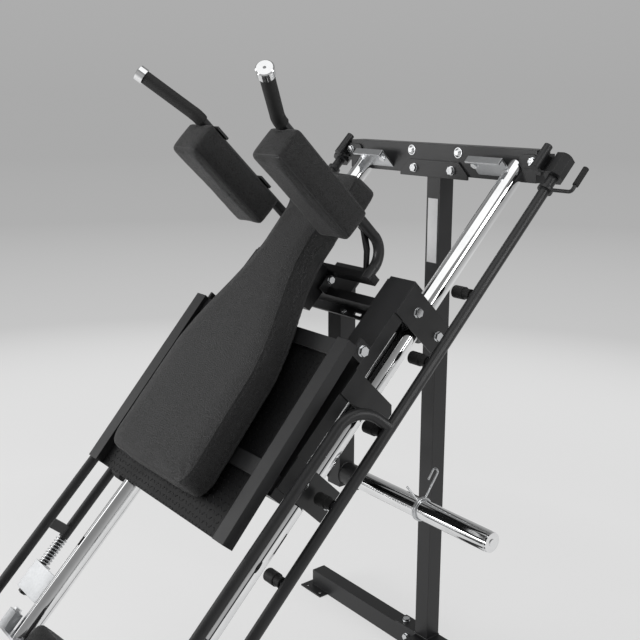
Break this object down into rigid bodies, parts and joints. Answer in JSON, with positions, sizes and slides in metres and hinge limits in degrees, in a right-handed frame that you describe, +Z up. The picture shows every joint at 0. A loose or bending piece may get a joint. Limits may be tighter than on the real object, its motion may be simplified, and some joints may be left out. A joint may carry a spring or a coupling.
{
  "type": "leg press hack squat machine",
  "caption": "Plate loaded leg press and hack squat machine with a rolling carriage on slanted guide rods, padded back and shoulder rests and swing-out safety bars.",
  "frame": {"origin": "on the floor under the middle of the rear floor tube", "axes": "+X across the machine, +Y from the seat to the rear post, +Z up from the floor"},
  "size_m": [1.122, 1.9655, 1.7459],
  "materials": {
    "black_paint": "satin",
    "chrome": "polished",
    "zinc": "satin",
    "bolts": "bright",
    "vinyl": "satin",
    "rubber": "matt",
    "label": "satin",
    "roller": "satin",
    "spring": "polished",
    "tread": "satin"
  },
  "bodies": {
    "frame": {"rear_base": "black_paint", "rear_post": "black_paint", "label_plate": "label", "top_beam": "black_paint", "frame_bolts": "bolts", "rod_left": "chrome", "rod_right": "chrome", "upper_clamps": "zinc", "lower_clamps": "zinc", "floor_beam": "black_paint", "lower_beam": "black_paint", "lower_post": "black_paint", "front_base": "black_paint", "seat_frame": "black_paint", "seat_pad": "vinyl", "bar_mount_left": "black_paint", "bar_mount_right": "black_paint", "bar_bracket_left": "zinc", "bar_bracket_right": "zinc", "bar_spring_left": "spring", "bar_spring_right": "spring"},
    "bar_left": {"bar_left": "black_paint", "pegs_left": "rubber", "bar_grips_left": "rubber"},
    "bar_right": {"bar_right": "black_paint", "pegs_right": "rubber", "bar_grips_right": "rubber"},
    "carriage": {"side_beam_left": "black_paint", "side_beam_right": "black_paint", "cross_beams": "black_paint", "plate_frame": "black_paint", "tread_plate": "tread", "cheeks_left": "black_paint", "cheeks_right": "black_paint", "weight_post": "black_paint", "horn_left": "chrome", "horn_right": "chrome", "carriage_bolts": "bolts"},
    "pads": {"pad_frame": "black_paint", "back_pad": "vinyl", "shoulder_left": "vinyl", "shoulder_right": "vinyl", "grips": "rubber", "grip_caps": "chrome"},
    "backrest": {"rest_frame": "black_paint", "rest_pad": "vinyl"},
    "squat_platform": {"squat_frame": "black_paint", "squat_plate": "tread"},
    "collar_left": {"collar_left": "zinc"},
    "collar_right": {"collar_right": "zinc"},
    "roller_lt": {"roller_lt": "roller"},
    "roller_lb": {"roller_lb": "roller"},
    "roller_ut": {"roller_ut": "roller"},
    "roller_ub": {"roller_ub": "roller"},
    "roller_rlt": {"roller_rlt": "roller"},
    "roller_rlb": {"roller_rlb": "roller"},
    "roller_rut": {"roller_rut": "roller"},
    "roller_rub": {"roller_rub": "roller"}
  },
  "joints": [
    {"name": "carriage_slide", "type": "slide", "parent": "frame", "child": "carriage", "axis": [0, 0.7071, 0.7071], "range_m": [0, 0.383]},
    {"name": "pads_flip", "type": "hinge", "parent": "carriage", "child": "pads", "pos_m": [0, -0.40754, 1.22891], "axis": [-1, 0, 0], "range_deg": [0, 26]},
    {"name": "bar_swing_left", "type": "hinge", "parent": "frame", "child": "bar_left", "pos_m": [-0.396, -0.58432, 0.92768], "axis": [0, -0.7071, -0.7071], "range_deg": [0, 60]},
    {"name": "bar_swing_right", "type": "hinge", "parent": "frame", "child": "bar_right", "pos_m": [0.396, -0.58432, 0.92768], "axis": [0, 0.7071, 0.7071], "range_deg": [0, 60]},
    {"name": "backrest_recline", "type": "hinge", "parent": "frame", "child": "backrest", "pos_m": [0, -1.44307, 0.28237], "axis": [-1, 0, 0], "range_deg": [0, 10]},
    {"name": "platform_lift", "type": "slide", "parent": "frame", "child": "squat_platform", "axis": [0, -0.7071, 0.7071], "range_m": [0, 0.12]},
    {"name": "collar_slide_left", "type": "slide", "parent": "carriage", "child": "collar_left", "axis": [-1, 0, 0], "range_m": [0, 0.18]},
    {"name": "collar_slide_right", "type": "slide", "parent": "carriage", "child": "collar_right", "axis": [1, 0, 0], "range_m": [0, 0.18]},
    {"name": "roller_lt_spin", "type": "hinge", "parent": "carriage", "child": "roller_lt", "pos_m": [-0.276, -0.71683, 0.86221], "axis": [1, 0, 0], "continuous": true},
    {"name": "roller_lb_spin", "type": "hinge", "parent": "carriage", "child": "roller_lb", "pos_m": [-0.276, -0.64979, 0.79517], "axis": [1, 0, 0], "continuous": true},
    {"name": "roller_ut_spin", "type": "hinge", "parent": "carriage", "child": "roller_ut", "pos_m": [-0.276, -0.38449, 1.19455], "axis": [1, 0, 0], "continuous": true},
    {"name": "roller_ub_spin", "type": "hinge", "parent": "carriage", "child": "roller_ub", "pos_m": [-0.276, -0.31745, 1.12751], "axis": [1, 0, 0], "continuous": true},
    {"name": "roller_rlt_spin", "type": "hinge", "parent": "carriage", "child": "roller_rlt", "pos_m": [0.276, -0.71683, 0.86221], "axis": [1, 0, 0], "continuous": true},
    {"name": "roller_rlb_spin", "type": "hinge", "parent": "carriage", "child": "roller_rlb", "pos_m": [0.276, -0.64979, 0.79517], "axis": [1, 0, 0], "continuous": true},
    {"name": "roller_rut_spin", "type": "hinge", "parent": "carriage", "child": "roller_rut", "pos_m": [0.276, -0.38449, 1.19455], "axis": [1, 0, 0], "continuous": true},
    {"name": "roller_rub_spin", "type": "hinge", "parent": "carriage", "child": "roller_rub", "pos_m": [0.276, -0.31745, 1.12751], "axis": [1, 0, 0], "continuous": true}
  ],
  "couplings": [
    {"joint": "roller_lt_spin", "follows": "carriage_slide", "rad_per_m": -46.512},
    {"joint": "roller_lb_spin", "follows": "carriage_slide", "rad_per_m": 46.512},
    {"joint": "roller_ut_spin", "follows": "carriage_slide", "rad_per_m": -46.512},
    {"joint": "roller_ub_spin", "follows": "carriage_slide", "rad_per_m": 46.512},
    {"joint": "roller_rlt_spin", "follows": "carriage_slide", "rad_per_m": -46.512},
    {"joint": "roller_rlb_spin", "follows": "carriage_slide", "rad_per_m": 46.512},
    {"joint": "roller_rut_spin", "follows": "carriage_slide", "rad_per_m": -46.512},
    {"joint": "roller_rub_spin", "follows": "carriage_slide", "rad_per_m": 46.512}
  ]
}
